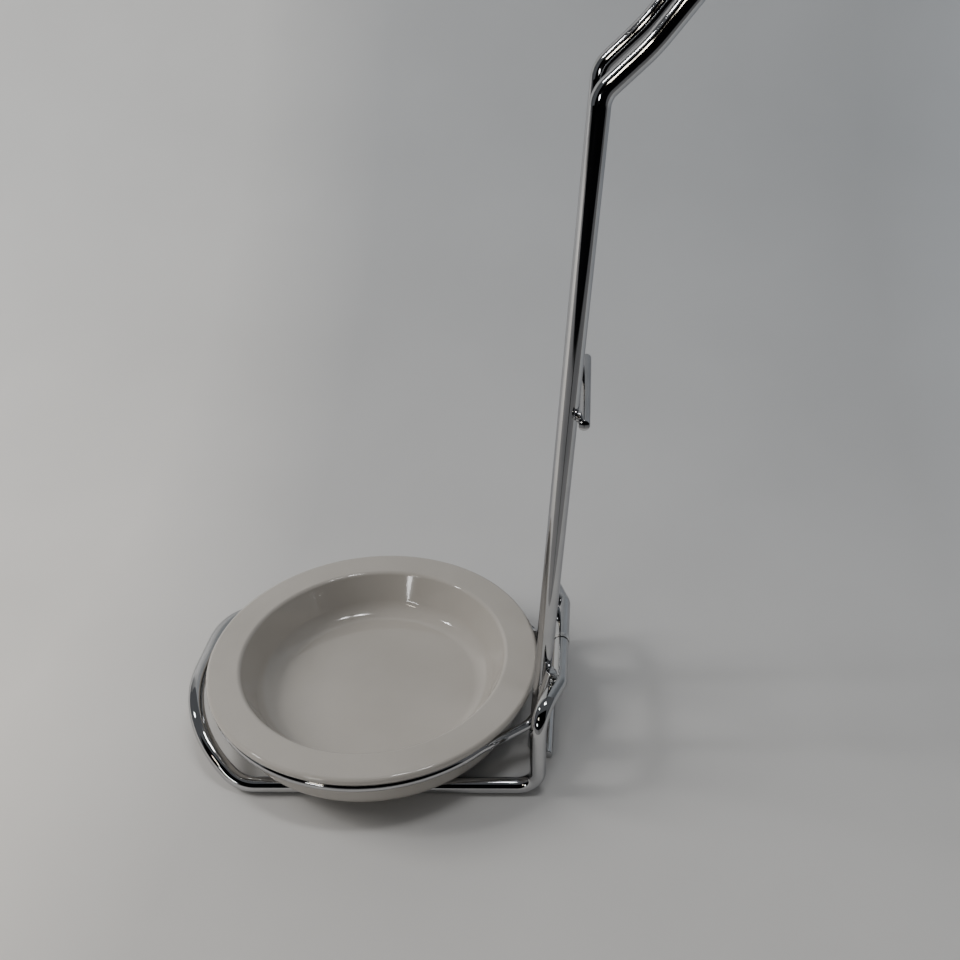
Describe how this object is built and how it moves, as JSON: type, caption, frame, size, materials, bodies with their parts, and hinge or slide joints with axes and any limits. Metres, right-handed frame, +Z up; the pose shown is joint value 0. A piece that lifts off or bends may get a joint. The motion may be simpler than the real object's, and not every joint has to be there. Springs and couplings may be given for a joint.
{
  "type": "razor stand",
  "caption": "Chrome bent-wire razor stand: paired uprights with a swan-neck loop, raised-front wire base and a lift-out round white ceramic dish held in a wire ring.",
  "frame": {"origin": "point on the table directly under the dish's axis", "axes": "+Z up; +Y from the dish to the uprights; +X across the stand, which is symmetric about X = 0"},
  "size_m": [0.103, 0.1451, 0.2615],
  "materials": {
    "chrome_wire": "polished chrome plate",
    "weld": "chrome plate over weld, slightly rough",
    "glaze": "gloss white glaze"
  },
  "bodies": {
    "stand": {"base_wire": "chrome_wire", "base_weld": "weld", "upright_wire": "chrome_wire", "upright_welds": "weld", "mid_rod": "chrome_wire", "mid_rod_welds": "weld", "foot_rod": "chrome_wire", "foot_rod_welds": "weld", "dish_ring": "chrome_wire", "ring_welds": "weld"},
    "dish": {"dish": "glaze"}
  },
  "joints": [
    {"name": "dish_lift", "type": "slide", "parent": "stand", "child": "dish", "axis": [0, 0, 1], "range_m": [0, 0.06]}
  ]
}
